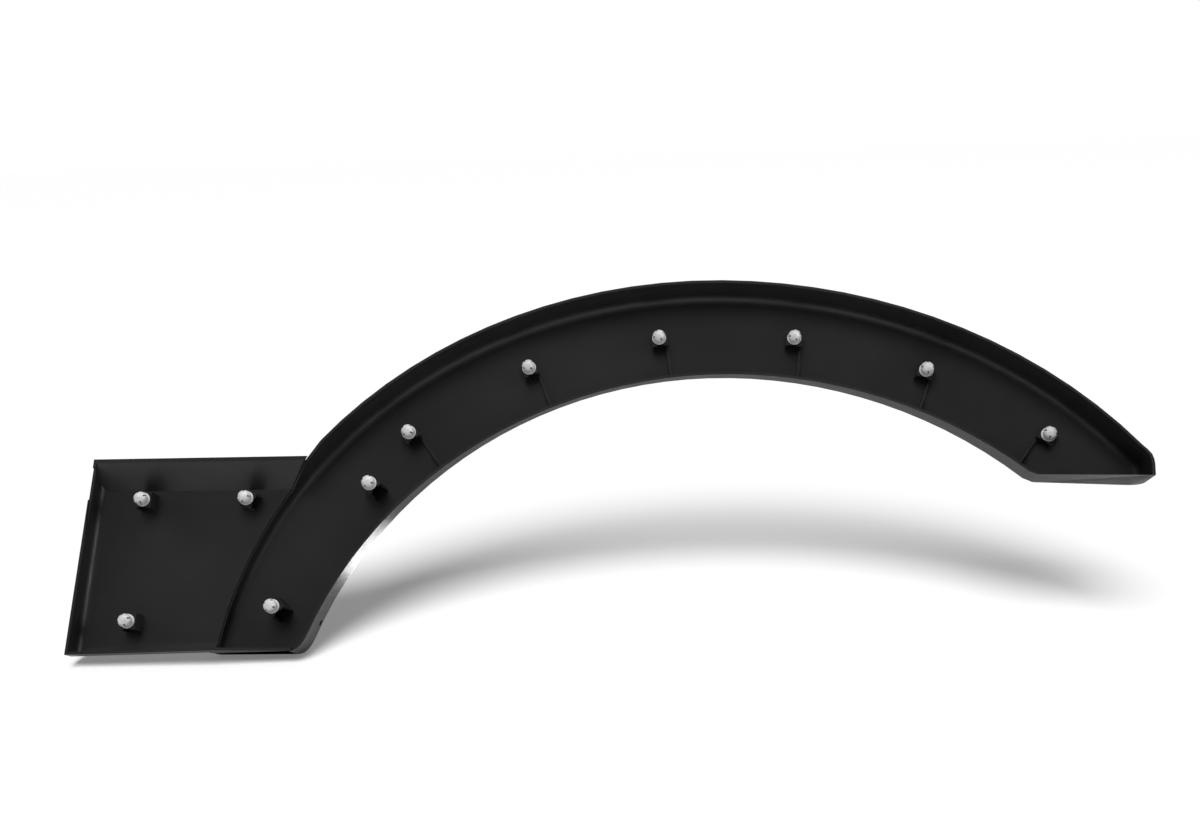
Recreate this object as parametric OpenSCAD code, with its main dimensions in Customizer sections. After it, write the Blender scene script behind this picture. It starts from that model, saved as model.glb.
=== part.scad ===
// Wheel arch trim: one moulding, an open arch band with a side plate, and its push-in clips.
// X runs along the vehicle towards the tip, Y away from the vehicle, Z up.
// The origin is the seat of clip 8, just beside the crown.

/* [Arch band] */
// Crown of the outer edge over the foot of the leg
crown_height = 335; // [329:1:341]
// Half width of the oval that the outer edge follows
outer_half_width = 443; // [437:1:449]
// Half height of that oval
outer_half_height = 380; // [372:1:388]
// Width of the band at the crown, outer edge to wheel opening
band_width = 84; // [78:0.5:90]
// Half width of the oval that the wheel opening follows
inner_half_width = 384; // [379:1:389]
// Half height of that oval
inner_half_height = 358; // [352:1:364]
// Offset of the wheel opening along X
inner_shift = 8.4; // [3:0.1:13]
// Depth of the band, outer rim to outer face
band_depth = 38.6; // [34:0.1:44]
// Wall thickness
wall = 2.6; // [2.2:0.1:3.2]
// Outside radius between outer wall and face
face_radius = 11; // [8:0.5:13]
// Outside radius between face and lip
lip_radius = 5; // [4:0.5:6]
// Inward curve of the tip, as on the front of a wing
tip_bow = 23; // [10:1:30]

/* [Lip at the wheel opening] */
// Depth of the lip where it is lowest
lip_depth = 14; // [12:0.5:18]
// Depth of the lip at the foot
lip_depth_foot = 31; // [26:0.5:33]
// Depth of the lip at the tip
lip_depth_tip = 29; // [24:0.5:33]
// Radius of the screw hole in the lip
screw_hole_r = 2.75; // [2:0.05:3.2]
// Height of the screw hole over the foot
screw_hole_z = 27; // [24:0.5:40]
// Distance of the screw hole from the outer face
screw_hole_in = 9.5; // [9:0.5:14]

/* [Tip] */
// Position of the short end face
tip_x = 377; // [374:0.5:380]
// Height of the tip's lower edge at the lip, over the foot
tip_z = 145.5; // [141:0.5:151]
// Fall of that edge towards the end face
tip_fall = 7; // [3:0.5:9]

/* [Side plate] */
// Top edge over the foot
plate_top = 174; // [167:1:181]
// Depth of the plate, rim to outer face
plate_depth = 24.1; // [20:0.1:28]
// Top left corner
plate_left_top = -559.2; // [-580:0.1:-540]
// Bottom left corner
plate_left_bottom = -566.3; // [-582:0.1:-547]
// Drop of the bottom left corner below the foot
plate_drop = 2.8; // [1.5:0.1:8]
// Width of the sloping top wall
slope_run = 22; // [16:0.5:28]
// Inside radius at the left and bottom wall
plate_radius = 8; // [5:0.5:9]
// Step down of the left rim between its corners
rim_step = 2.2; // [1:0.1:4]

/* [Clip towers] */
// Width of a tower
tower_w = 14.6; // [13:0.1:16]
// Tower wall
tower_wall = 1.8; // [1.5:0.1:2.4]
// Front plate of a tower, which the clip grips
front_t = 2.0; // [1.8:0.1:2.4]
// Low part of the rib beside a tower
rib_low = 5; // [3:0.5:7]
// High part of the rib at the lip
rib_high = 9; // [8:0.5:11]
// Rib thickness
rib_t = 2.2; // [1.8:0.1:2.8]

/* [Clips] */
// Radius of the clip head
head_r = 5.9; // [5.4:0.1:6.4]
// Length of the head
head_len = 9.5; // [8:0.5:11]
// Grip length between washer and head
grip_len = 3.2; // [2.5:0.1:4]
// Radius of the neck in the keyhole
neck_r = 2.4; // [2:0.1:2.8]
// Radius of the washer on the tower's front
washer_r = 6.4; // [6:0.1:6.8]
// Clearance round the neck and behind the front plate
clip_gap = 0.25; // [0.15:0.05:0.4]

/* [Hidden] */
eps = 0.01;
stations = 38;

// Clips: X and height over the foot, direction of the tower's open side, depth of its
// front below the rim, side of the rib (0 for none)
clips = [
    [-511.5, 136.8, -90, 5, 0],
    [-415.9, 136.7, -22, 5, 0],
    [-514.6, 26.8, -90, 5, 0],
    [-385.7, 39.0, -45, 7, 0],
    [-304.3, 149.2, -42, 7, 0],
    [-272.8, 199.5, -54, 19, 1],
    [-163.1, 261.0, -69, 23, 1],
    [-41.8, 287.5, -83, 23, 1],
    [82.8, 284.3, -97, 23, 1],
    [199.7, 249.0, -112, 23, 1],
    [300.7, 184.9, -128, 26, -1]
];

outer_cz = crown_height - outer_half_height;
inner_cz = crown_height - band_width - inner_half_height;
bow_from = 24;
function bow(x) = tip_bow * pow(max(0, (x - bow_from) / (tip_x - bow_from)), 2);

// Outer path from the foot to the tip: oval, rounded corner, short end face
oval_end_x = tip_x - 7.5;
outer_a1 = acos(oval_end_x / outer_half_width);
oval_end_z = outer_cz + outer_half_height * sin(outer_a1);
function outer_oval(a) = [outer_half_width * cos(a), outer_cz + outer_half_height * sin(a)];
tip_low_z = tip_z - tip_fall;
tip_path = [
    [tip_x - 4.2, oval_end_z - 3.6], [tip_x - 1.4, oval_end_z - 7.8],
    [tip_x - 0.2, oval_end_z - 12.2], [tip_x, oval_end_z - 16.5],
    [tip_x - 0.6, tip_low_z]
];
// Inner path: oval of the wheel opening, rounded at the foot
inner_a1 = asin((tip_z + 3 - inner_cz) / inner_half_height);
foot_turn = [7.5, 4.4, 2.2, 0.8];
foot_rise = [0, 1.8, 4.4, 8.2];
function inner_oval(a) =
    [inner_shift + inner_half_width * cos(a), inner_cz + inner_half_height * sin(a)];
function oval_at(cz, hh, z) = 180 - asin((z - cz) / hh);
main_outer_a0 = oval_at(outer_cz, outer_half_height, 14);
main_inner_a0 = oval_at(inner_cz, inner_half_height, 14);
tip_n = len(tip_path);
foot_n = len(foot_turn);
inner_tip = inner_oval(inner_a1);
outer_path = concat(
    [for (k = [0 : foot_n - 1]) outer_oval(oval_at(outer_cz, outer_half_height, foot_rise[k]))],
    [for (k = [0 : stations]) outer_oval(main_outer_a0 + (outer_a1 - main_outer_a0) * k / stations)],
    tip_path);
inner_path = concat(
    [for (k = [0 : foot_n - 1])
        inner_oval(oval_at(inner_cz, inner_half_height, foot_rise[k])) - [foot_turn[k], 0]],
    [for (k = [0 : stations]) inner_oval(main_inner_a0 + (inner_a1 - main_inner_a0) * k / stations)],
    [for (k = [1 : tip_n]) inner_tip + [1.3 * k, -k * (inner_tip[1] - tip_z) / tip_n]]);
rings = len(outer_path);

rim_foot = 0.2;
// Depth of the outer rim: the rim plane on the arch, the plate's floor down the leg
function plate_mid(z) = z > plate_top - slope_run
    ? (plate_top - z) / slope_run * (plate_depth - wall) + wall / 2 : plate_depth - wall / 2;
function rim_y(p) = p[1] >= plate_top || p[0] > 0 ? 0 : min(plate_mid(p[1]), plate_depth - wall / 2);
// Depth of the lip along the opening
lip_low_x = -110;
lip_foot_x = -352;
lip_tip_x = 283;
function lip_at(x) = x < lip_low_x
    ? lip_depth + (lip_depth_foot - lip_depth) * pow(min(1, (x - lip_low_x) / (lip_foot_x - lip_low_x)), 1.8)
    : lip_depth + (lip_depth_tip - lip_depth) * pow(min(1, (x - lip_low_x) / (lip_tip_x - lip_low_x)), 1.8);

// Section of the band as points [across, depth]: outer skin, then back along the inner skin
arc_n = 5;
function arc(cx, cy, r, a0, a1, n) =
    [for (k = [0 : n]) [cx + r * cos(a0 + (a1 - a0) * k / n), cy + r * sin(a0 + (a1 - a0) * k / n)]];
function outer_skin(w, y0, h) = concat(
    [[0, y0]],
    arc(face_radius, band_depth - face_radius, face_radius, 180, 90, arc_n),
    arc(w - lip_radius, band_depth - lip_radius, lip_radius, 90, 0, 4),
    [[w, band_depth - h]]);
function inner_skin(w, y0, h) = concat(
    [[w - wall, band_depth - h]],
    arc(w - lip_radius, band_depth - lip_radius, lip_radius - wall, 0, 90, 4),
    arc(face_radius, band_depth - face_radius, face_radius - wall, 90, 180, arc_n),
    [[wall, y0]]);
function place(k, q) = let (o = outer_path[k], i = inner_path[k], d = (i - o) / norm(i - o),
    x = o[0] + d[0] * q[0], z = o[1] + d[1] * q[0]) [x, q[1] - bow(x), z];
function width(k) = norm(inner_path[k] - outer_path[k]);
function ring(k) = let (w = width(k), y0 = rim_y(outer_path[k]), h = lip_at(inner_path[k][0]))
    [for (q = concat(outer_skin(w, y0, h), inner_skin(w, y0, h))) place(k, q)];

module loft(rows) {
    n = len(rows[0]);
    m = len(rows);
    polyhedron(points = [for (r = rows) each r], faces = concat(
        [[for (j = [0 : n - 1]) j]],
        [for (k = [0 : m - 2], j = [0 : n - 1]) [k * n + j, (k + 1) * n + j, k * n + (j + 1) % n]],
        [for (k = [0 : m - 2], j = [0 : n - 1])
            [k * n + (j + 1) % n, (k + 1) * n + j, (k + 1) * n + (j + 1) % n]],
        [[for (j = [n - 1 : -1 : 0]) (m - 1) * n + j]]), convexity = 8);
}

// End wall: it follows the middle of the band's skin, so it ends inside it
module end_wall(k, ya, yb, lift) {
    o = outer_path[k];
    d = inner_path[k] - o;
    w = norm(d);
    m = wall / 2;
    translate([o[0], 0, o[1]]) rotate([0, -atan2(d[1], d[0]), 0]) translate([0, 0, lift])
        linear_extrude(wall) polygon([for (q = concat([[m, ya]],
            arc(face_radius, band_depth - face_radius, face_radius - m, 180, 90, arc_n),
            arc(w - lip_radius, band_depth - lip_radius, lip_radius - m, 90, 0, 4),
            [[w - m, yb]])) [q[0], q[1] - bow(o[0] + d[0] / w * q[0])]]);
}

module band() {
    loft([for (k = [rings - 1 : -1 : 0]) ring(k)]);
    end_wall(0, rim_foot, band_depth - lip_at(inner_path[0][0]) + 0.3, 0.15);
    translate([outer_path[0][0] - 3, rim_foot + 0.1, 0.4])
        cube([5.1, plate_depth - wall / 3 - rim_foot, wall - 0.5]);
    end_wall(rings - 1, band_depth - face_radius - 1, band_depth - face_radius - 1, -wall - 0.15);
}

// Plate: stacked outlines, each side moved in by its own amount
left_dir = [plate_left_bottom - plate_left_top, -plate_drop - plate_top]
    / norm([plate_left_bottom - plate_left_top, -plate_drop - plate_top]);
left_in = [-left_dir[1], left_dir[0]];
foot_x = outer_path[0][0];
bottom_dir = [foot_x - plate_left_bottom, plate_drop] / norm([foot_x - plate_left_bottom, plate_drop]);
bottom_in = [-bottom_dir[1], bottom_dir[0]];
plate_far_x = foot_x + 130;
function left_x(z, off) = plate_left_top + left_in[0] * off
    + (z - plate_top - left_in[1] * off) * left_dir[0] / left_dir[1];
function bottom_z(x, off) = -plate_drop + bottom_in[1] * off
    + (x - plate_left_bottom - bottom_in[0] * off) * bottom_dir[1] / bottom_dir[0];
function corner_z(off_l, off_b) = let (x0 = left_x(0, off_l), g = left_dir[0] / left_dir[1],
    s = bottom_dir[1] / bottom_dir[0]) (bottom_z(x0, off_b)) / (1 - s * g);
function outline(y, off_l, off_t, off_b) = let (zt = plate_top - off_t, zc = corner_z(off_l, off_b)) [
    [left_x(zt, off_l), y, zt], [plate_far_x, y, zt],
    [plate_far_x, y, bottom_z(plate_far_x, off_b)], [left_x(zc, off_l), y, zc]];
function cove(y, floor_y, r) = y <= floor_y - r ? 0 : r - sqrt(max(0, r * r - pow(y - floor_y + r, 2)));
outer_r = plate_radius + wall;
inner_floor = plate_depth - wall;
skin_ys = concat([0], [for (k = [0 : 5]) plate_depth - outer_r + outer_r * sin(k * 18)]);
hollow_ys = concat([-1], [for (k = [0 : 5]) inner_floor - plate_radius + plate_radius * sin(k * 18)]);
slope_t = wall * sqrt(pow(slope_run / inner_floor, 2) + 1);

module plate() {
    intersection() {
        difference() {
            loft([for (y = skin_ys) outline(y, cove(y, plate_depth, outer_r),
                slope_run * y / inner_floor, cove(y, plate_depth, outer_r))]);
            loft([for (y = hollow_ys) outline(y, wall + cove(y, inner_floor, plate_radius),
                slope_t + slope_run * y / inner_floor, wall + cove(y, inner_floor, plate_radius))]);
            // the left rim is a little lower between its corners
            translate([plate_left_top, 0, plate_top])
                rotate([0, atan2(left_dir[0], -left_dir[1]), 0])
                translate([-3, -5, -(plate_top + plate_drop - 9)])
                cube([wall + 3.6, 5 + rim_step, plate_top + plate_drop - 17]);
        }
        // it ends inside the wall of the band
        rotate([90, 0, 0]) translate([0, 0, -plate_depth - 5]) linear_extrude(plate_depth + 10)
            polygon(concat([[foot_x - 150, plate_top + 20]],
                [for (k = [0 : 9]) outer_oval(oval_at(outer_cz, outer_half_height,
                    plate_top + 19 - k * 22.3)) + [wall * 0.45, 0]],
                [[foot_x + wall * 0.3, -40], [foot_x - 150, -40]]));
    }
}

function ray(p, a) = let (c = cos(a), s = sin(a), x = p[0] - inner_shift, z = p[1] - inner_cz,
    qa = pow(c / inner_half_width, 2) + pow(s / inner_half_height, 2),
    qb = x * c / pow(inner_half_width, 2) + z * s / pow(inner_half_height, 2),
    qc = pow(x / inner_half_width, 2) + pow(z / inner_half_height, 2) - 1)
    (-qb - sqrt(qb * qb - qa * qc)) / qa;
function on_plate(c) = c[0] < foot_x + 45 && c[2] != -45;
function floor_y(c) = on_plate(c) ? plate_depth - wall : band_depth - wall - bow(c[0]);
function front_y(c) = c[3] - bow(c[0]);

module tower(c) {
    deep = floor_y(c) - front_y(c);
    translate([c[0], front_y(c), c[1]]) rotate([0, -c[2], 0]) {
        difference() {
            translate([-tower_w / 2, 0, -tower_w / 2]) cube([tower_w, deep + wall / 2, tower_w]);
            translate([-tower_w / 2 + tower_wall, front_t, -tower_w / 2 + tower_wall])
                cube([tower_w, deep - front_t - 0.4, tower_w - 2 * tower_wall]);
            rotate([-90, 0, 0]) translate([0, 0, -1]) cylinder(h = front_t + 2, r = neck_r + clip_gap, $fn = 48);
            translate([0, -1, -neck_r - clip_gap]) cube([tower_w, front_t + 2, 2 * (neck_r + clip_gap)]);
        }
        if (c[4] != 0) {
            side = c[4] * (tower_w - rib_t) / 2;
            p = [c[0], c[1]] + side * [-sin(c[2]), cos(c[2])];
            reach = ray(p, c[2]) - wall / 2;
            part = tower_w / 2 + (reach - tower_w / 2) * 0.45;
            translate([tower_w / 2 - 1, deep - rib_low, side - rib_t / 2])
                cube([part - tower_w / 2 + 1 + eps, rib_low + wall / 2, rib_t]);
            translate([part, deep - rib_high, side - rib_t / 2])
                cube([reach - part, rib_high + wall / 2, rib_t]);
        }
    }
}

module screw_hole() {
    a = oval_at(inner_cz, inner_half_height, screw_hole_z);
    p = inner_oval(a);
    n = atan2(sin(a) / inner_half_height, cos(a) / inner_half_width);
    translate([p[0], band_depth - screw_hole_in, p[1]]) rotate([0, -n, 0]) rotate([0, 90, 0])
        translate([0, 0, -6]) cylinder(h = 14, r = screw_hole_r, $fn = 48);
}

module arch_moulding() color([0.13, 0.13, 0.14]) to_origin() {
    difference() {
        band();
        screw_hole();
    }
    plate();
    for (c = clips) tower(c);
}

module clip(c) color([0.9, 0.9, 0.88]) to_origin()
    translate([c[0], front_y(c), c[1]]) rotate([0, -c[2], 0]) rotate([90, 0, 0]) difference() {
        rotate_extrude($fn = 48) polygon([
            [0, -front_t - clip_gap - 1.4], [5.2, -front_t - clip_gap - 1.4],
            [5.2, -front_t - clip_gap], [neck_r, -front_t - clip_gap], [neck_r, 0],
            [washer_r, 0], [washer_r, 0.8], [washer_r - 1.2, 1.4], [3.4, 1.4],
            [3.4, grip_len], [head_r, grip_len + 1.9], [head_r, grip_len + 3.4],
            [head_r * 0.96, grip_len + 4.6], [head_r * 0.86, grip_len + 6.0],
            [head_r * 0.68, grip_len + 7.4], [head_r * 0.42, grip_len + head_len - 0.9],
            [head_r * 0.2, grip_len + head_len - 0.2], [0, grip_len + head_len]]);
        for (a = [20, 110]) rotate([0, 0, a]) translate([-head_r - 1, -0.8, 2.2])
            cube([2 * head_r + 2, 1.6, grip_len + head_len - 4.4]);
    }

seat = clips[7];
module to_origin() translate([-seat[0], -front_y(seat), -seat[1]]) children();

arch_moulding();
clip(clips[0]);  // clip_01
clip(clips[1]);  // clip_02
clip(clips[2]);  // clip_03
clip(clips[3]);  // clip_04
clip(clips[4]);  // clip_05
clip(clips[5]);  // clip_06
clip(clips[6]);  // clip_07
clip(clips[7]);  // clip_08
clip(clips[8]);  // clip_09
clip(clips[9]);  // clip_10
clip(clips[10]);  // clip_11
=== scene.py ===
# Wheel arch trim, seen from its inner side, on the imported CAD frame.
import bpy
import math
from mathutils import Matrix, Vector


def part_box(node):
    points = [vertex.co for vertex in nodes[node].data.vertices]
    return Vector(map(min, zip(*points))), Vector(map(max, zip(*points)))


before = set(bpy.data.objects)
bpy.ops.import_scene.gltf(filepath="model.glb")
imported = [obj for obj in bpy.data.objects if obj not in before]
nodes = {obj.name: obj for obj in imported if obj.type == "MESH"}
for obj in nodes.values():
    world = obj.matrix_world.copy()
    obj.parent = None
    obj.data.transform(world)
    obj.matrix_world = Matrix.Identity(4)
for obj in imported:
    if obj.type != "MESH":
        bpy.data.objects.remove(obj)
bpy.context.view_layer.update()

# Photograph: its size and the focal length in its pixels
PHOTO_W, PHOTO_H = 1200, 837
FOCAL_PX = 1300
SENSOR = 36.0
# Camera: place in the frame, pitch up and yaw to the left
CAMERA_AT = Vector((0.0206, -1.1410, -0.4123))
PITCH = math.radians(16.355)
YAW = math.radians(3.801)

# Height of the foot of the leg in the frame
FOOT_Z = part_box("arch_moulding")[0][2] + 0.0028
# The sheet behind the trim: degrees from level, and the way the key light travels
FLOOR_LEAN = 32
KEY_WAY = Vector((0.10, 1.0, -0.50))


def nodes_of(mat):
    mat.use_nodes = True
    tree = mat.node_tree
    return tree, tree.nodes, tree.links


def new_material(name):
    mat = bpy.data.materials.new(name)
    tree, made, links = nodes_of(mat)
    shader = next(n for n in made if n.type == "BSDF_PRINCIPLED")
    return mat, made, links, shader


def object_noise(made, links, scale, detail=3.0, roughness=0.5):
    where = made.new("ShaderNodeTexCoord")
    noise = made.new("ShaderNodeTexNoise")
    noise.inputs["Scale"].default_value = scale
    noise.inputs["Detail"].default_value = detail
    noise.inputs["Roughness"].default_value = roughness
    links.new(where.outputs["Object"], noise.inputs["Vector"])
    return noise


def mapped(made, links, source, low, high):
    ramp = made.new("ShaderNodeMapRange")
    ramp.inputs["From Min"].default_value = 0.3
    ramp.inputs["From Max"].default_value = 0.7
    ramp.inputs["To Min"].default_value = low
    ramp.inputs["To Max"].default_value = high
    links.new(source, ramp.inputs["Value"])
    return ramp.outputs["Result"]


def black_moulding():
    """Black polypropylene: fine moulded grain, flow marks and slightly uneven gloss."""
    mat, made, links, shader = new_material("moulding")
    tone = made.new("ShaderNodeMix")
    tone.data_type = "RGBA"
    tone.inputs["A"].default_value = (0.0105, 0.0104, 0.0112, 1)
    tone.inputs["B"].default_value = (0.0165, 0.0162, 0.0168, 1)
    flow = object_noise(made, links, 9.0, 4.0, 0.6)
    links.new(mapped(made, links, flow.outputs["Fac"], 0.0, 1.0), tone.inputs["Factor"])
    links.new(tone.outputs["Result"], shader.inputs["Base Color"])
    sheen = object_noise(made, links, 34.0, 5.0, 0.65)
    links.new(mapped(made, links, sheen.outputs["Fac"], 0.36, 0.47), shader.inputs["Roughness"])
    shader.inputs["Specular IOR Level"].default_value = 0.36
    grain = object_noise(made, links, 1500.0, 2.0, 0.5)
    bump = made.new("ShaderNodeBump")
    bump.inputs["Strength"].default_value = 0.10
    bump.inputs["Distance"].default_value = 0.0004
    links.new(grain.outputs["Fac"], bump.inputs["Height"])
    links.new(bump.outputs["Normal"], shader.inputs["Normal"])
    return mat


def pale_nylon():
    """Natural nylon: pale, a little waxy, with slight clouding."""
    mat, made, links, shader = new_material("clip")
    tone = made.new("ShaderNodeMix")
    tone.data_type = "RGBA"
    tone.inputs["A"].default_value = (0.42, 0.43, 0.44, 1)
    tone.inputs["B"].default_value = (0.54, 0.54, 0.53, 1)
    cloud = object_noise(made, links, 180.0, 3.0, 0.6)
    links.new(mapped(made, links, cloud.outputs["Fac"], 0.0, 1.0), tone.inputs["Factor"])
    links.new(tone.outputs["Result"], shader.inputs["Base Color"])
    shader.inputs["Roughness"].default_value = 0.30
    shader.inputs["Subsurface Weight"].default_value = 0.15
    shader.inputs["Subsurface Radius"].default_value = (0.002, 0.002, 0.0018)
    grain = object_noise(made, links, 900.0, 2.0, 0.5)
    bump = made.new("ShaderNodeBump")
    bump.inputs["Strength"].default_value = 0.06
    bump.inputs["Distance"].default_value = 0.0003
    links.new(grain.outputs["Fac"], bump.inputs["Height"])
    links.new(bump.outputs["Normal"], shader.inputs["Normal"])
    return mat


def dress(name, material, crease, edge_radius=0):
    """The CAD node keeps its shape: smooth shading between creases, and its material."""
    obj = nodes[name]
    obj.data.materials.clear()
    obj.data.materials.append(material)
    for face in obj.data.polygons:
        face.use_smooth = True
    weld = obj.modifiers.new("weld", "WELD")
    weld.merge_threshold = 0.000005
    if edge_radius:
        round_edges = obj.modifiers.new("edges", "BEVEL")
        round_edges.width = edge_radius
        round_edges.segments = 2
        round_edges.limit_method = "ANGLE"
        round_edges.angle_limit = math.radians(crease)
        obj.modifiers.new("normals", "WEIGHTED_NORMAL")
        return
    split = obj.modifiers.new("creases", "EDGE_SPLIT")
    split.split_angle = math.radians(crease)
    split.use_edge_sharp = False


def soft_light(name, at, aim, size, power):
    data = bpy.data.lights.new(name, "AREA")
    data.shape = "RECTANGLE"
    data.size, data.size_y = size
    data.energy = power
    lamp = bpy.data.objects.new(name, data)
    bpy.context.collection.objects.link(lamp)
    lamp.location = at
    lamp.rotation_mode = "QUATERNION"
    lamp.rotation_quaternion = (Vector(aim) - Vector(at)).to_track_quat("-Z", "Y")
    lamp.visible_camera = False
    lamp.light_linking.receiver_collection = trim
    return lamp


def key_light():
    """One wide, even light from the front: it shapes the shadow on the sheet and has no glare."""
    data = bpy.data.lights.new("key", "SUN")
    data.energy = 3.1
    data.angle = math.radians(32)
    lamp = bpy.data.objects.new("key", data)
    bpy.context.collection.objects.link(lamp)
    lamp.rotation_mode = "QUATERNION"
    lamp.rotation_quaternion = KEY_WAY.to_track_quat("-Z", "Y")
    lamp.visible_glossy = False


def make_camera():
    right = Vector((math.cos(YAW), math.sin(YAW), 0))
    ahead = Vector((-math.sin(YAW) * math.cos(PITCH), math.cos(YAW) * math.cos(PITCH), math.sin(PITCH)))
    up = right.cross(ahead)
    data = bpy.data.cameras.new("camera")
    data.sensor_width = SENSOR
    data.lens = SENSOR * FOCAL_PX / PHOTO_W
    data.clip_start, data.clip_end = 0.01, 100
    cam = bpy.data.objects.new("camera", data)
    bpy.context.collection.objects.link(cam)
    turn = Matrix((right, up, -ahead)).transposed()
    cam.rotation_mode = "QUATERNION"
    cam.rotation_quaternion = turn.to_quaternion()
    cam.location = CAMERA_AT
    bpy.context.scene.camera = cam


def make_world():
    world = bpy.data.worlds.new("studio")
    bpy.context.scene.world = world
    tree, made, links = nodes_of(world)
    light = next(n for n in made if n.type == "BACKGROUND")
    out = next(n for n in made if n.type == "OUTPUT_WORLD")
    light.inputs["Color"].default_value = (1, 1, 1, 1)
    light.inputs["Strength"].default_value = 0.14
    seen = made.new("ShaderNodeBackground")
    seen.inputs["Color"].default_value = (1, 1, 1, 1)
    seen.inputs["Strength"].default_value = 1.0
    path = made.new("ShaderNodeLightPath")
    pick = made.new("ShaderNodeMixShader")
    links.new(path.outputs["Is Camera Ray"], pick.inputs["Fac"])
    links.new(light.outputs["Background"], pick.inputs[1])
    links.new(seen.outputs["Background"], pick.inputs[2])
    links.new(pick.outputs["Shader"], out.inputs["Surface"])


def make_floor():
    """White sheet that starts under the foot and rises behind; it shows from its upper side only."""
    lean = math.radians(FLOOR_LEAN)
    mesh = bpy.data.meshes.new("floor")
    far, wide = 6.0, 8.0
    back = Vector((0, math.cos(lean), math.sin(lean)))
    start = Vector((0, 0, FOOT_Z - 0.006))
    corners = [start + back * t + Vector((x, 0, 0)) for t, x in ((-far, -wide), (-far, wide), (far, wide), (far, -wide))]
    mesh.from_pydata(corners, [], [(0, 1, 2, 3)])
    floor = bpy.data.objects.new("floor", mesh)
    bpy.context.collection.objects.link(floor)
    mat = bpy.data.materials.new("paper")
    tree, made, links = nodes_of(mat)
    out = next(n for n in made if n.type == "OUTPUT_MATERIAL")
    paper = next(n for n in made if n.type == "BSDF_PRINCIPLED")
    paper.inputs["Base Color"].default_value = (0.9, 0.9, 0.9, 1)
    paper.inputs["Roughness"].default_value = 0.9
    glow = made.new("ShaderNodeEmission")
    glow.inputs["Strength"].default_value = 0.17
    lit = made.new("ShaderNodeAddShader")
    links.new(paper.outputs["BSDF"], lit.inputs[0])
    links.new(glow.outputs["Emission"], lit.inputs[1])
    path = made.new("ShaderNodeLightPath")
    either = made.new("ShaderNodeMath")
    either.operation = "MAXIMUM"
    links.new(path.outputs["Is Camera Ray"], either.inputs[0])
    links.new(path.outputs["Is Glossy Ray"], either.inputs[1])
    front = made.new("ShaderNodeMixShader")
    links.new(either.outputs["Value"], front.inputs["Fac"])
    links.new(paper.outputs["BSDF"], front.inputs[1])
    links.new(lit.outputs["Shader"], front.inputs[2])
    side = made.new("ShaderNodeNewGeometry")
    clear = made.new("ShaderNodeBsdfTransparent")
    sided = made.new("ShaderNodeMixShader")
    links.new(side.outputs["Backfacing"], sided.inputs["Fac"])
    links.new(front.outputs["Shader"], sided.inputs[1])
    links.new(clear.outputs["BSDF"], sided.inputs[2])
    links.new(sided.outputs["Shader"], out.inputs["Surface"])
    mesh.materials.append(mat)


moulding = black_moulding()
nylon = pale_nylon()
for name in nodes:
    if name == "arch_moulding":
        dress(name, moulding, 32, 0.0003)
    else:
        dress(name, nylon, 35)

# The soft lights reach the trim alone, so that the key light's shadow stays clear on the sheet
trim = bpy.data.collections.new("trim")
for obj in nodes.values():
    trim.objects.link(obj)
middle = (0.0, 0.0, -0.15)
key_light()
soft_light("top", (0.3, -0.35, 1.6), middle, (1.2, 0.6), 16)
soft_light("below", (0.2, -0.9, -1.7), middle, (1.8, 1.0), 4)
soft_light("right", (1.7, -0.45, 0.15), middle, (0.6, 0.9), 13)
soft_light("left", (-1.9, -0.8, 0.4), middle, (0.9, 1.0), 3)
soft_light("behind", (0.3, 1.9, 0.6), middle, (1.6, 1.2), 60)
gleam = soft_light("gleam", (-0.262, 0.105, -0.214), (-0.32, 0.0, -0.21), (0.06, 0.07), 0.17)
gleam.visible_diffuse = False

make_floor()
make_world()
make_camera()
bpy.context.scene.view_settings.view_transform = "Standard"
